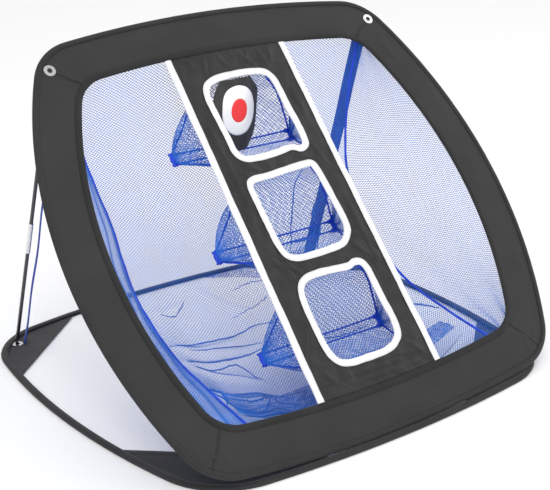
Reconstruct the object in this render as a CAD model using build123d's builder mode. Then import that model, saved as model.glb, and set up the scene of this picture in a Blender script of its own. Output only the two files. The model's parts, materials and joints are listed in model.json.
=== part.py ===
"""Golf chipping net: two spring-wire hoops joined along the front, with a net bag behind the leaning one.

Millimetres, +Z up, +Y towards the back, origin under the middle of the object on the ground.
"""
from build123d import *
from math import atan2, cos, degrees, hypot, radians, sin, sqrt
import os

os.makedirs("parts", exist_ok=True)

# ---------------------------------------------------------------- driving dimensions
LEAN = 48.5  # slope of the front panel above the ground, degrees

WIRE = 3.0  # spring wire diameter
BASE_DEPTH = 583.0  # base hoop, front to back over the sleeve
BASE_HALF_FRONT = 266.0  # corner points of its outline, before rounding
BASE_HALF_BACK = 288.0
BASE_BOW_FRONT = 22.0  # how far each side bows out past its corner points
BASE_BOW_BACK = 34.0
BASE_BOW_SIDE = 34.0
BASE_CORNER = 100.0
BASE_SLEEVE = 9.5
BASE_SLEEVE_THICK = 5.0

SEAM_GAP = 1.5  # hinge seam to the base sleeve
FRONT_LOW = 0.5  # outline of the front hoop, up the slope from the hinge seam
FRONT_HIGH = 596.5
FRONT_HALF_LOW = 266.0
FRONT_HALF_HIGH = 250.0
FRONT_BOW = 20.0
FRONT_BOW_SIDE = 72.0
FRONT_CORNER = 75.0
HEM = 7.0
HEM_THICK = 4.4
BAND = 60.0  # from the outer edge to the window
INNER_HEM = 8.0
WINDOW_CORNER = 48.0
CLOTH = 1.6
INNER_HEM_THICK = 2.6

STRIP_TOP_HALF = 93.0  # centre strip over its white bindings
STRIP_LOW_HALF = 97.0
BINDING = 9.5
BINDING_THICK = 2.8
HOLE_WIDTH = 118.0  # over the white binding
HOLE_HEIGHT = 128.0
HOLE_CORNER = 27.0
HOLE_PITCH = 142.0
HOLE_MIDDLE = 297.5  # middle hole's centre, up the slope
HOLE_RIM = 9.0

POCKET_DEPTH = 75.0  # behind the panel, to the pocket's flat end
POCKET_END_WIDTH = 190.0
POCKET_END_HEIGHT = 14.0
POCKET_DROP = 7.0  # end below the hole's centre, measured on the slope
POCKET_END_LENGTH = 7.0
NET = 1.2

EYELET_HALF = 247.0
EYELET_UP = 546.5
BASE_EYELET_HALF = 259.5
BASE_EYELET_BACK = 513.0  # behind the hinge seam
EYELET_OUTER = 15.0
EYELET_BORE = 6.6
EYELET_THICK = 2.8
EYELET_GRIP = 1.64  # the cloth's room between its two flanges
EYELET_NECK = 8.6
EYELET_SIDES = 24
PATCH = 1.0
FRONT_PATCH_UP = 0.75  # middle of the cloth above the ground
BACK_PATCH_UP = 1.5

ROD = 5.0
ROD_LENGTH = 425.2  # from the foot pivot to the top end
ROD_FOOT_RISE = 6.5  # foot pivot above the base eyelet
FERRULE = 6.4
FERRULE_LENGTH = 48.0
FERRULE_UP = 0.42  # its centre, as a share of the rod from its foot
TIP = 5.6
TIP_LENGTH = 12.0
TIP_NOSE = 4.0

STRAP_WIDTH = 19.0
STRAP = 1.2
STRAP_INSET = 10.0  # inboard of the rod
STRAP_TURN = 23.9  # its flat side, turned from the side of the object

TARGET_LOW = 94.0  # height of the hanging patch
TARGET_DISC = 64.0
TARGET_BULLSEYE = 30.0
TARGET_CLOTH = 1.2

# ---------------------------------------------------------------- derived places
SLOPE = radians(LEAN)
HINGE_Z = BASE_SLEEVE_THICK / 2
HINGE_Y = -BASE_DEPTH / 2 + BASE_SLEEVE + SEAM_GAP
PANEL = Plane(origin=(0, HINGE_Y, HINGE_Z), x_dir=(1, 0, 0), z_dir=(0, -sin(SLOPE), cos(SLOPE)))
GROUND = Plane.XY.offset(HINGE_Z)
HOLES = {
    "top": HOLE_MIDDLE + HOLE_PITCH,
    "middle": HOLE_MIDDLE,
    "bottom": HOLE_MIDDLE - HOLE_PITCH,
}
SIDES = {"left": -1, "right": 1}


def on_panel(u, v, front=0.0):
    """The point of the space that lies u across, v up the slope and so far in front of the panel."""
    return PANEL.from_local_coords(Vector(u, v, front))


def save(part, name):
    part.label = name
    export_step(part, f"parts/{name}.step")


def flat_solid(outlines):
    """A closed solid from the corners of its flat faces."""
    return Solid(Shell([Face(Wire.make_polygon(outline, close=True)) for outline in outlines]))


def hoop_face(half_low, half_high, low, high, bow_low, bow_high, bow_side, corner):
    """A four-sided hoop outline whose sides all bow outwards, with rounded corners."""
    middle = (low + high) / 2
    bulge = (half_low + half_high) / 2 + bow_side
    with BuildSketch() as face:
        with BuildLine():
            ThreePointArc((-half_low, low + bow_low), (0, low), (half_low, low + bow_low))
            ThreePointArc((half_low, low + bow_low), (bulge, middle), (half_high, high - bow_high))
            ThreePointArc((half_high, high - bow_high), (0, high), (-half_high, high - bow_high))
            ThreePointArc((-half_high, high - bow_high), (-bulge, middle), (-half_low, low + bow_low))
        make_face()
        if corner:
            fillet(face.vertices(), corner)
    return face.sketch


FRONT_SIZE = (FRONT_HALF_LOW, FRONT_HALF_HIGH, FRONT_LOW, FRONT_HIGH, FRONT_BOW, FRONT_BOW, FRONT_BOW_SIDE)
FRONT_FACE = hoop_face(*FRONT_SIZE, FRONT_CORNER)
BASE_FACE = hoop_face(
    BASE_HALF_FRONT,
    BASE_HALF_BACK,
    -BASE_DEPTH / 2,
    BASE_DEPTH / 2,
    BASE_BOW_FRONT,
    BASE_BOW_BACK,
    BASE_BOW_SIDE,
    BASE_CORNER,
)


def inset(face, amount):
    """The hoop's face, drawn in by an even width all round, in true arcs."""
    rim = offset(face, -amount, kind=Kind.INTERSECTION, mode=Mode.PRIVATE).wire()
    with BuildSketch() as smaller:
        with BuildLine():
            for edge in rim.order_edges():
                ThreePointArc(edge @ 0, edge @ 0.5, edge @ 1)
        make_face()
    return smaller.sketch


def window_face(depth):
    """The front hoop's face drawn in to its window, whose corners are rounder than an even band would leave."""
    with BuildSketch() as face:
        add(inset(hoop_face(*FRONT_SIZE, 0), depth))
        fillet(face.vertices(), WINDOW_CORNER + BAND - depth)
    return face.sketch


def hoop_tube(plane, face, depth, sleeve=None):
    """A closed tube that follows the hoop at a depth inside its outline: its wire, or the sleeve on it."""
    path = plane.from_local_coords(inset(face, depth).wire())
    along = path % 0
    with BuildPart() as tube:
        with BuildSketch(Plane(origin=path @ 0, x_dir=plane.z_dir.cross(along), z_dir=along)):
            if sleeve:
                wide, high = sleeve[0] / 2, sleeve[1] / 2
                with BuildLine():
                    Polyline((wide, high), (high - wide, high), (-wide, 0), (high - wide, -high), (wide, -high), close=True)
                make_face()
                Rectangle(WIRE, WIRE, mode=Mode.SUBTRACT)
            else:
                RegularPolygon(WIRE / 2, 6)
        sweep(path=path)
    return tube.part


# ---------------------------------------------------------------- base hoop
save(hoop_tube(GROUND, BASE_FACE, BASE_SLEEVE / 2), "base_hoop_wire")
save(hoop_tube(GROUND, BASE_FACE, BASE_SLEEVE / 2, (BASE_SLEEVE, BASE_SLEEVE_THICK)), "base_hoop_sleeve")

# corner patches: the open side of each runs from the hoop's side to its front or back
FRONT_PATCH = ((310.0, 187.0), (107.0, 4.0))
BACK_PATCH = ((300.0, 417.0), (156.0, 549.0))
PATCH_HEM = 7.0


def base_patch(side, run, up, name):
    """A triangle of cloth across one corner of the base hoop, hemmed along its open side."""
    (x0, y0), (x1, y1) = [(side * x, y + HINGE_Y) for x, y in run]
    far_x = x0 + side * 400
    far_y = 400.0 if y1 > 0 else -400.0
    seat = inset(BASE_FACE, BASE_SLEEVE)
    with BuildPart() as patch:
        with BuildSketch(Plane.XY.offset(up - PATCH / 2)):
            add(seat)
            with BuildLine():
                Polyline((x0, y0), (x1, y1), (x1, y1 + far_y), (far_x, y0 + far_y), (far_x, y0), close=True)
            make_face(mode=Mode.INTERSECT)
            if far_y > 0:
                with Locations((side * BASE_EYELET_HALF, HINGE_Y + BASE_EYELET_BACK)):
                    RegularPolygon(EYELET_NECK / 2, EYELET_SIDES, mode=Mode.SUBTRACT)
        extrude(amount=PATCH)
        length = hypot(x1 - x0, y1 - y0)
        turn = degrees(atan2(y1 - y0, x1 - x0))
        with BuildSketch(Plane.XY.offset(up - PATCH * 0.75)):
            add(seat)
            with Locations(Location(((x0 + x1) / 2, (y0 + y1) / 2, 0), (0, 0, turn))):
                Rectangle(length + 60, PATCH_HEM, mode=Mode.INTERSECT)
        extrude(amount=PATCH * 1.5)
    save(patch.part, name)


for word, side in SIDES.items():
    base_patch(side, FRONT_PATCH, FRONT_PATCH_UP, f"base_patch_front_{word}")
    base_patch(side, BACK_PATCH, BACK_PATCH_UP, f"base_patch_back_{word}")


def ring_face(radius, hole):
    """A many-sided ring, round enough for so small a piece."""
    RegularPolygon(radius, EYELET_SIDES)
    RegularPolygon(hole, EYELET_SIDES, mode=Mode.SUBTRACT)


def eyelet(plane):
    """A rolled metal eyelet that grips the cloth between two flanges, axis on the plane's normal."""
    with BuildPart() as ring:
        for face in (1, -1):
            with BuildSketch(plane.offset(face * EYELET_GRIP / 2)):
                ring_face(EYELET_OUTER / 2, EYELET_BORE / 2)
            extrude(amount=face * (EYELET_THICK - EYELET_GRIP) / 2)
        with BuildSketch(plane.offset(-EYELET_GRIP / 2)):
            ring_face(EYELET_NECK / 2, EYELET_BORE / 2)
        extrude(amount=EYELET_GRIP)
    return ring.part


for word, side in SIDES.items():
    spot = Plane(origin=(side * BASE_EYELET_HALF, HINGE_Y + BASE_EYELET_BACK, BACK_PATCH_UP), z_dir=(0, 0, 1))
    save(eyelet(spot), f"base_eyelet_{word}")
    spot = Plane(origin=on_panel(side * EYELET_HALF, EYELET_UP), x_dir=PANEL.x_dir, z_dir=PANEL.z_dir)
    save(eyelet(spot), f"front_eyelet_{word}")

# ---------------------------------------------------------------- front panel frame
save(hoop_tube(PANEL, FRONT_FACE, HEM / 2), "front_hoop_wire")
save(hoop_tube(PANEL, FRONT_FACE, HEM / 2, (HEM, HEM_THICK)), "front_hem_sleeve")

MIDDLE = (FRONT_LOW + FRONT_HIGH) / 2
FAR = 3.0
MITRE = {
    "top": ((-FRONT_HALF_HIGH, FRONT_HIGH - FRONT_BOW), (FRONT_HALF_HIGH, FRONT_HIGH - FRONT_BOW)),
    "right": ((FRONT_HALF_HIGH, FRONT_HIGH - FRONT_BOW), (FRONT_HALF_LOW, FRONT_LOW + FRONT_BOW)),
    "bottom": ((FRONT_HALF_LOW, FRONT_LOW + FRONT_BOW), (-FRONT_HALF_LOW, FRONT_LOW + FRONT_BOW)),
    "left": ((-FRONT_HALF_LOW, FRONT_LOW + FRONT_BOW), (-FRONT_HALF_HIGH, FRONT_HIGH - FRONT_BOW)),
}
for word, (first, second) in MITRE.items():
    corners = [(FAR * x, MIDDLE + FAR * (y - MIDDLE)) for x, y in (first, second)]
    with BuildPart() as band:
        with BuildSketch(PANEL.offset(-CLOTH / 2)):
            add(inset(FRONT_FACE, HEM))
            add(window_face(BAND - INNER_HEM), mode=Mode.SUBTRACT)
            with BuildLine():
                Polyline((0, MIDDLE), corners[1], corners[0], close=True)
            make_face(mode=Mode.INTERSECT)
            if word in SIDES or word == "top":
                with Locations((-EYELET_HALF, EYELET_UP), (EYELET_HALF, EYELET_UP)):
                    RegularPolygon(EYELET_NECK / 2, EYELET_SIDES, mode=Mode.SUBTRACT)
        extrude(amount=CLOTH)
    save(band.part, f"front_band_{word}")

with BuildPart() as inner_hem:
    with BuildSketch(PANEL.offset(-INNER_HEM_THICK / 2)):
        add(window_face(BAND - INNER_HEM))
        add(window_face(BAND), mode=Mode.SUBTRACT)
    extrude(amount=INNER_HEM_THICK)
save(inner_hem.part, "front_inner_hem")

# flat-felled seams over the four mitres, on the front face of the band
with BuildPart() as seams:
    with BuildSketch(PANEL.offset(CLOTH / 2)):
        for x, y in (first for first, second in MITRE.values()):
            turn = degrees(atan2(y - MIDDLE, x))
            with Locations(Location((x / 2, (y + MIDDLE) / 2, 0), (0, 0, turn))):
                Rectangle(hypot(x, y - MIDDLE) * 1.2, 4.0)
        add(inset(FRONT_FACE, HEM + 0.4), mode=Mode.INTERSECT)
        add(window_face(BAND - INNER_HEM - 0.4), mode=Mode.SUBTRACT)
        with Locations((-EYELET_HALF, EYELET_UP), (EYELET_HALF, EYELET_UP)):
            Circle(EYELET_OUTER / 2 + 0.3, mode=Mode.SUBTRACT)
    extrude(amount=0.6)
save(seams.part, "front_corner_seams")

# ---------------------------------------------------------------- centre strip and bindings
STRIP_TOP = FRONT_HIGH - BAND
STRIP_LOW = FRONT_LOW + BAND


def strip_face(trim):
    """The strip's face between the two hems, drawn in from its side edges."""
    with BuildSketch() as face:
        with BuildLine():
            Polyline(
                (-STRIP_LOW_HALF + trim, STRIP_LOW - 20),
                (STRIP_LOW_HALF - trim, STRIP_LOW - 20),
                (STRIP_TOP_HALF - trim, STRIP_TOP + 20),
                (-STRIP_TOP_HALF + trim, STRIP_TOP + 20),
                close=True,
            )
        make_face()
        add(window_face(BAND), mode=Mode.INTERSECT)
    return face.sketch


with BuildPart() as strip:
    with BuildSketch(PANEL.offset(-CLOTH / 2)):
        add(strip_face(BINDING))
        with Locations(*[(0, up) for up in HOLES.values()]):
            RectangleRounded(HOLE_WIDTH, HOLE_HEIGHT, HOLE_CORNER, mode=Mode.SUBTRACT)
    extrude(amount=CLOTH)
save(strip.part, "centre_strip")

for word, side in SIDES.items():
    with BuildPart() as binding:
        with BuildSketch(PANEL.offset(-BINDING_THICK / 2)):
            add(strip_face(0))
            add(strip_face(BINDING), mode=Mode.SUBTRACT)
            with Locations((-side * 300, MIDDLE)):
                Rectangle(600, 800, mode=Mode.SUBTRACT)
        extrude(amount=BINDING_THICK)
    save(binding.part, f"strip_binding_{word}")

for word, up in HOLES.items():
    with BuildPart() as rim:
        with BuildSketch(PANEL.offset(-BINDING_THICK / 2)):
            with Locations((0, up)):
                RectangleRounded(HOLE_WIDTH, HOLE_HEIGHT, HOLE_CORNER)
                RectangleRounded(
                    HOLE_WIDTH - 2 * HOLE_RIM, HOLE_HEIGHT - 2 * HOLE_RIM, HOLE_CORNER - HOLE_RIM, mode=Mode.SUBTRACT
                )
        extrude(amount=BINDING_THICK)
    save(rim.part, f"hole_binding_{word}")

# ---------------------------------------------------------------- net pockets
POCKET_MOUTH = BINDING_THICK / 2 + 0.1  # behind the panel plane


def funnel(up, shrink):
    """A flat-sided funnel from behind a hole to its wide, low end, drawn in by a margin."""
    rings = []
    for width, height, v, depth in (
        (HOLE_WIDTH - 6, HOLE_HEIGHT - 6, up, POCKET_MOUTH),
        (POCKET_END_WIDTH, POCKET_END_HEIGHT, up - POCKET_DROP, POCKET_DEPTH),
    ):
        across = width / 2 - shrink
        half = height / 2 - shrink
        corners = ((-across, -half), (across, -half), (across, half), (-across, half))
        rings.append([on_panel(u, v + rise, -depth) for u, rise in corners])
    mouth, end = rings
    sides = [(mouth[n], mouth[n - 1], end[n - 1], end[n]) for n in range(4)]
    return flat_solid([*sides, mouth, end])


for word, up in HOLES.items():
    save(Part(funnel(up, 0).cut(funnel(up, NET)).wrapped), f"pocket_{word}")
    with BuildPart() as tail:
        with BuildSketch(PANEL.offset(-POCKET_DEPTH)):
            with Locations((0, up - POCKET_DROP)):
                Rectangle(POCKET_END_WIDTH, POCKET_END_HEIGHT)
        extrude(amount=-POCKET_END_LENGTH)
        chamfer(tail.edges().filter_by(Axis.X).sort_by(Axis.Y)[-2:], 2.5)
    save(tail.part, f"pocket_end_{word}")

# ---------------------------------------------------------------- net bag
def behind(v, depth):
    """Back from the hinge seam and up from the ground, for a point so far up the slope and behind it."""
    return (v * cos(SLOPE) + depth * sin(SLOPE), HINGE_Z + v * sin(SLOPE) - depth * cos(SLOPE))


HANG = INNER_HEM_THICK / 2 + 0.2  # the net's ends, behind the panel plane
PIPING = 3.6
BAG_HALF = 95.0  # half the width of the bag's flat middle
SEAM_HALF = 190.0

# the bag's corners in the middle of the object and at its side seams, from the top hem down
# its back and forward above the ground to the bottom hem
BAG_MIDDLE = (behind(540, HANG), (366, 330), (352, 220), (306, 105), (215, 24), (120, 6), (62, 14), behind(56, HANG))
BAG_SEAM = (behind(528, HANG), (364, 310), (342, 215), (294, 132), (215, 82), (130, 62), (82, 57), behind(66, HANG))


def bag_line(points, extra=0.0, hang=HANG):
    """A run through these corners, drawn in by an even amount and ended behind the panel."""
    lines = [(Vector(*behind(0, hang)), Vector(cos(SLOPE), sin(SLOPE)))]
    for start, end in zip(points, points[1:]):
        along = (Vector(*end) - Vector(*start)).normalized()
        lines.append((Vector(*start) + Vector(along.Y, -along.X) * extra, along))
    lines.append(lines[0])
    corners = []
    for (start, along), (other, way) in zip(lines, lines[1:]):
        reach = (other - start).cross(way).Z / along.cross(way).Z
        corners.append(start + along * reach)
    return corners


def bag_sides(across, points):
    """The corners of the net's outer and inner face at one place across the bag."""
    return [
        [Vector(across, HINGE_Y + spot.X, spot.Y) for spot in bag_line(points, lift)] for lift in (-NET / 2, NET / 2)
    ]


def triangles(first, second):
    """The triangles between two matching runs of corners."""
    outlines = []
    for a, b, c, d in zip(first, first[1:], second, second[1:]):
        outlines += [(a, b, d), (a, d, c)]
    return outlines


# a plain grid of openings stands for the net's mesh
GRID = 9
BAG_SPAN = 540.0 - 62.0
OPEN = 0.8  # each opening, as a share of its pitch
EDGE = SEAM_HALF - PIPING / 2
stations = [(-EDGE, BAG_SEAM), (-BAG_HALF, BAG_MIDDLE), (BAG_HALF, BAG_MIDDLE), (EDGE, BAG_SEAM)]
sections = [bag_sides(*station) for station in stations]
outlines = [outer + inner[::-1] for outer, inner in (sections[0], sections[-1])]
for first, second in zip(sections, sections[1:]):
    for face in (0, 1):
        outlines += triangles(first[face], second[face])
    for end in (0, -1):
        outlines.append([first[0][end], first[1][end], second[1][end], second[0][end]])
with BuildPart() as back_panel:
    add(flat_solid(outlines))
    with BuildSketch(PANEL.offset(-HANG - 3)):
        with Locations((0, 62.0 + BAG_SPAN / 2)):
            with GridLocations(2 * EDGE / GRID, BAG_SPAN / GRID, GRID, GRID):
                Rectangle(2 * EDGE / GRID * OPEN, BAG_SPAN / GRID * OPEN)
    extrude(amount=-220, mode=Mode.SUBTRACT)
save(back_panel.part, "net_back_panel")


def raised(rows, lift):
    """Pairs of matching corners, moved off the face between them by a small lift, as two runs."""
    moved = []
    for n, (a, b) in enumerate(rows):
        before = rows[max(n - 1, 0)]
        after = rows[min(n + 1, len(rows) - 1)]
        face = (b - a).cross(after[0] + after[1] - before[0] - before[1]).normalized()
        moved.append((a + face * lift, b + face * lift))
    return zip(*moved)


for word, side in SIDES.items():
    run = bag_line(BAG_SEAM, 0, HANG + PIPING / 2 + 0.3)
    spots = [Vector(side * SEAM_HALF, HINGE_Y + spot.X, spot.Y) for spot in run]
    with BuildPart() as piping:
        with BuildLine() as path:
            Polyline(*spots)
        with BuildSketch(Plane(origin=spots[0], z_dir=spots[1] - spots[0])):
            RegularPolygon(PIPING / 2, 8)
        sweep(transition=Transition.RIGHT)
    save(piping.part, f"net_seam_{word}")

    # the gusset runs from the hem beside the window to the seam, in flat triangles
    hem = PANEL.offset(-HANG - NET / 2) * ThreePointArc((side * 229, 526), (side * 273, MIDDLE), (side * 236, 78))
    inner = [Vector(side * (EDGE + PIPING + NET), spot.Y, spot.Z) for spot in spots]
    places = [(spot - spots[0]).dot(PANEL.y_dir) / (spots[-1] - spots[0]).dot(PANEL.y_dir) for spot in spots]
    rows = [(hem @ place, spot) for place, spot in zip(places, inner)]
    faces = [[list(run) for run in raised(rows, lift)] for lift in (NET / 2, -NET / 2)]
    outlines = []
    for hem_run, seam_run in faces:
        outlines += triangles(hem_run, seam_run)
    for edge in (0, 1):
        outlines += triangles(faces[0][edge], faces[1][edge])
    for end in (0, -1):
        a, b, c, d = faces[0][0][end], faces[0][1][end], faces[1][1][end], faces[1][0][end]
        outlines += [(a, b, c), (a, c, d)]
    with BuildPart() as gusset:
        add(flat_solid(outlines))
        with BuildSketch(Plane(origin=(0, HINGE_Y, 0), x_dir=(0, 1, 0), z_dir=(1, 0, 0))) as gaps:
            with Locations(Location((*behind(62.0 + BAG_SPAN / 2, 85), 0), (0, 0, LEAN))):
                with GridLocations(BAG_SPAN / GRID, BAG_SPAN / GRID, GRID, 4):
                    Rectangle(BAG_SPAN / GRID * OPEN, BAG_SPAN / GRID * OPEN)
            with BuildLine():
                Polyline(*bag_line(BAG_SEAM, 9.0, HANG + 9.0), close=True)
            make_face(mode=Mode.INTERSECT)
        extrude(amount=side * 400, mode=Mode.SUBTRACT)
    save(gusset.part, f"net_gusset_{word}")

# ---------------------------------------------------------------- rods
for word, side in SIDES.items():
    foot = Vector(side * BASE_EYELET_HALF, HINGE_Y + BASE_EYELET_BACK, BACK_PATCH_UP + EYELET_THICK / 2 + ROD_FOOT_RISE)
    along = (on_panel(side * EYELET_HALF, EYELET_UP) - foot).normalized()
    rod = Plane(origin=foot, x_dir=(1, 0, 0), z_dir=along)
    joint = ROD_LENGTH * FERRULE_UP

    for name, low, high in (
        ("lower", TIP_LENGTH, joint),
        ("upper", joint, ROD_LENGTH - TIP_LENGTH),
    ):
        with BuildPart() as section:
            with BuildSketch(rod.offset(low)):
                Circle(ROD / 2)
            extrude(amount=high - low)
        save(section.part, f"rod_{word}_{name}")

    with BuildPart() as ferrule:
        with BuildSketch(rod.offset(joint - FERRULE_LENGTH / 2)):
            Circle(FERRULE / 2)
            Circle(ROD / 2, mode=Mode.SUBTRACT)
        extrude(amount=FERRULE_LENGTH)
        chamfer(ferrule.edges().filter_by(lambda e: abs(e.radius - FERRULE / 2) < 0.01 if e.geom_type == GeomType.CIRCLE else False), 0.3)
    save(ferrule.part, f"rod_{word}_ferrule")

    for name, at, nose, turn in (
        ("foot", Plane(origin=foot, x_dir=rod.x_dir, z_dir=along), ROD_FOOT_RISE, 1),
        ("head", Plane(origin=foot + along * ROD_LENGTH, x_dir=rod.x_dir, z_dir=-along), 0.0, 1),
    ):
        # each tip is a cap on the rod's end with a round-ended pin
        base = 4.0 - nose if name == "head" else 0.0
        end = base - (ROD_FOOT_RISE if name == "foot" else 4.0)
        with BuildPart() as tip:
            with BuildSketch(Plane(origin=at.origin, x_dir=at.x_dir, z_dir=-at.y_dir)):
                with BuildLine():
                    Polyline(
                        (0, TIP_LENGTH),
                        (TIP / 2, TIP_LENGTH),
                        (TIP / 2, base + 0.8),
                        (TIP_NOSE / 2, base),
                        (TIP_NOSE / 2, end),
                        (0, end),
                        close=True,
                    )
                make_face()
            revolve(axis=Axis(at.origin, at.z_dir))
        save(tip.part, f"rod_{word}_{name}")

# ---------------------------------------------------------------- straps
for word, side in SIDES.items():
    turn = radians(STRAP_TURN) * side
    low = Vector(side * (BASE_EYELET_HALF - STRAP_INSET), HINGE_Y + BASE_EYELET_BACK, BACK_PATCH_UP)
    high = on_panel(side * (EYELET_HALF - STRAP_INSET), EYELET_UP)
    half = Vector(-sin(turn), cos(turn), 0) * STRAP_WIDTH / 2
    spare = (high - low) * 0.1
    flat = Plane(origin=low, x_dir=half, z_dir=half.cross(high - low))
    corners = (low - half - spare, low + half - spare, high + half + spare, high - half + spare)
    with BuildPart() as strap:
        with BuildSketch(flat.offset(-STRAP / 2)):
            with BuildLine():
                Polyline(*[flat.to_local_coords(point) for point in corners], close=True)
            make_face()
        extrude(amount=STRAP)
        split(bisect_by=PANEL.offset(-CLOTH / 2 - 0.3), keep=Keep.BOTTOM)
        split(bisect_by=Plane.XY.offset(BACK_PATCH_UP + PATCH / 2), keep=Keep.TOP)
    save(strap.part, f"strap_{word}")

# ---------------------------------------------------------------- hanging target
TARGET_V = HOLES["top"] + HOLE_HEIGHT / 2 - HOLE_RIM
TARGET_TOP = on_panel(0, TARGET_V).Z - 1.4
TARGET_Y = on_panel(0, TARGET_V).Y - 0.3
TARGET_X = -4.0
TARGET_HALVES = ((24.0, 0.0), (42.0, -20.0), (42.0, -34.0), (30.0, -75.0), (11.0, -TARGET_LOW))
DISC_DROP = -41.0
FACE = Plane(origin=(TARGET_X, TARGET_Y - TARGET_CLOTH / 2, TARGET_TOP), x_dir=(1, 0, 0), z_dir=(0, -1, 0))

with BuildPart() as patch:
    with BuildSketch(FACE) as outline:
        with BuildLine():
            Polyline(*TARGET_HALVES, *[(-x, y) for x, y in reversed(TARGET_HALVES)], close=True)
        make_face()
        fillet(outline.vertices(), 3.0)
    extrude(amount=-TARGET_CLOTH)
save(patch.part, "target_patch")

with BuildPart() as disc:
    with BuildSketch(FACE):
        with Locations((0, DISC_DROP)):
            Circle(TARGET_DISC / 2)
            Circle(TARGET_BULLSEYE / 2, mode=Mode.SUBTRACT)
    extrude(amount=0.8)
save(disc.part, "target_disc")

with BuildPart() as bullseye:
    with BuildSketch(FACE):
        with Locations((0, DISC_DROP)):
            Circle(TARGET_BULLSEYE / 2)
    extrude(amount=0.8)
save(bullseye.part, "target_bullseye")

print("hinge seam", HINGE_Y, HINGE_Z, "top", on_panel(0, FRONT_HIGH))
print("target hinge", TARGET_X, TARGET_Y, TARGET_TOP)
print("rod foot", foot)
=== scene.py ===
"""Golf chipping net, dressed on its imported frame: cloth, tape, netting, piping, webbing, rods and eyelets."""

import json
import math

import bpy
import numpy as np
from mathutils import Matrix, Vector


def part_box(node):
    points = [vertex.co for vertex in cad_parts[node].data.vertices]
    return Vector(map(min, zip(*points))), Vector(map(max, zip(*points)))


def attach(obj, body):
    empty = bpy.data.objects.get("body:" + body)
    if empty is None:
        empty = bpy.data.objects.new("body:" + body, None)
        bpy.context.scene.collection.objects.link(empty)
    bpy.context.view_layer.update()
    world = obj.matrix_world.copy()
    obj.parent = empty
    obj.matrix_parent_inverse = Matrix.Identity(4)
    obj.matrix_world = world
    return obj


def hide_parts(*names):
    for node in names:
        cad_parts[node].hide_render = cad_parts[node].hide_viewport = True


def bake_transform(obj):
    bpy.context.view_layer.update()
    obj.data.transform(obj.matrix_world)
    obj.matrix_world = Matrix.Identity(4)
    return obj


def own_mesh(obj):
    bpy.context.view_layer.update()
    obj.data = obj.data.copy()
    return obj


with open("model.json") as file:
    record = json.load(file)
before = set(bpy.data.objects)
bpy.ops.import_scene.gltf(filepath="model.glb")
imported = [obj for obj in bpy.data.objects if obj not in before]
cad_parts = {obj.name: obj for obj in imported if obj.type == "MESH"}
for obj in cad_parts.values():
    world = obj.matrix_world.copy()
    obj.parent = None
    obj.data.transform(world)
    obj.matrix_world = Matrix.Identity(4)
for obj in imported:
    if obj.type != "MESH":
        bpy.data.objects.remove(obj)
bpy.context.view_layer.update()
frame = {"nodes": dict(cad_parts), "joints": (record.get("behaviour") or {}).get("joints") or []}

# ---------------------------------------------------------------- places, in metres
joints = {joint["name"]: joint for joint in frame["joints"]}
HINGE = np.array(joints["panel_fold"]["pos_m"])
SLOPE = math.radians(48.5)
ACROSS = np.array((1.0, 0.0, 0.0))
UP_SLOPE = np.array((0.0, math.cos(SLOPE), math.sin(SLOPE)))
FORWARD = np.array((0.0, -math.sin(SLOPE), math.cos(SLOPE)))
SIDES = {"left": -1, "right": 1}

# hoops: half widths low and high, low and high edge, how far the low, high and side edges bow out
FRONT_HOOP = (0.266, 0.250, 0.0005, 0.5965, 0.020, 0.020, 0.072)
FRONT_CORNER = 0.075
BASE_HOOP = (0.266, 0.288, -0.2915, 0.2915, 0.022, 0.034, 0.034)
BASE_CORNER = 0.100
BAND = 0.060
WINDOW_CORNER = 0.048
HEM = 0.007
BASE_HEM = 0.0095
EYELET_SPOT = (0.247, 0.5465)
BASE_EYELET_SPOT = (0.2595, 0.2325)
HOLES = {"top": 0.4395, "middle": 0.2975, "bottom": 0.1555}


def on_panel(u, v, front=0.0):
    """A point so far across, up the slope and in front of the panel; arrays broadcast."""
    u, v, front = (np.asarray(value, float)[..., None] for value in (u, v, front))
    return HINGE + u * ACROSS + v * UP_SLOPE + front * FORWARD


def on_ground(x, y, up=0.0):
    x, y, up = np.broadcast_arrays(*(np.asarray(value, float) for value in (x, y, up)))
    return np.stack((x, y, up), -1)


def behind(v, depth):
    """A place behind the middle of the panel, as (back from the hinge, up from the ground)."""
    spot = on_panel(0, v, -depth)
    return spot[1] - HINGE[1], spot[2]


def smooth_run(points, count, closed=False):
    """Points evenly spread along a smooth curve through a few given ones, and the curve's length."""
    points = np.array(points, float)
    if closed:
        ends = np.vstack((points[-1:], points, points[:2]))
    else:
        ends = np.vstack((2 * points[0] - points[1], points, 2 * points[-1] - points[-2]))
    fine = []
    for before, start, end, after in zip(ends, ends[1:], ends[2:], ends[3:]):
        t = np.linspace(0, 1, 40, endpoint=False)[:, None]
        fine.append(
            0.5
            * (
                2 * start
                + (end - before) * t
                + (2 * before - 5 * start + 4 * end - after) * t**2
                + (3 * start - before - 3 * end + after) * t**3
            )
        )
    fine = np.vstack(fine + [points[:1] if closed else points[-1:]])
    along = np.concatenate(([0], np.cumsum(np.linalg.norm(np.diff(fine, axis=0), axis=1))))
    places = np.linspace(0, along[-1], count, endpoint=not closed)
    return np.stack([np.interp(places, along, fine[:, k]) for k in range(points.shape[1])], 1), along[-1]


def circle_through(a, b, c):
    middle = np.linalg.solve(np.array((2 * (b - a), 2 * (c - a))), (b @ b - a @ a, c @ c - a @ a))
    return middle, np.linalg.norm(a - middle)


def bearing(way):
    return math.atan2(way[1], way[0])


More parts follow.
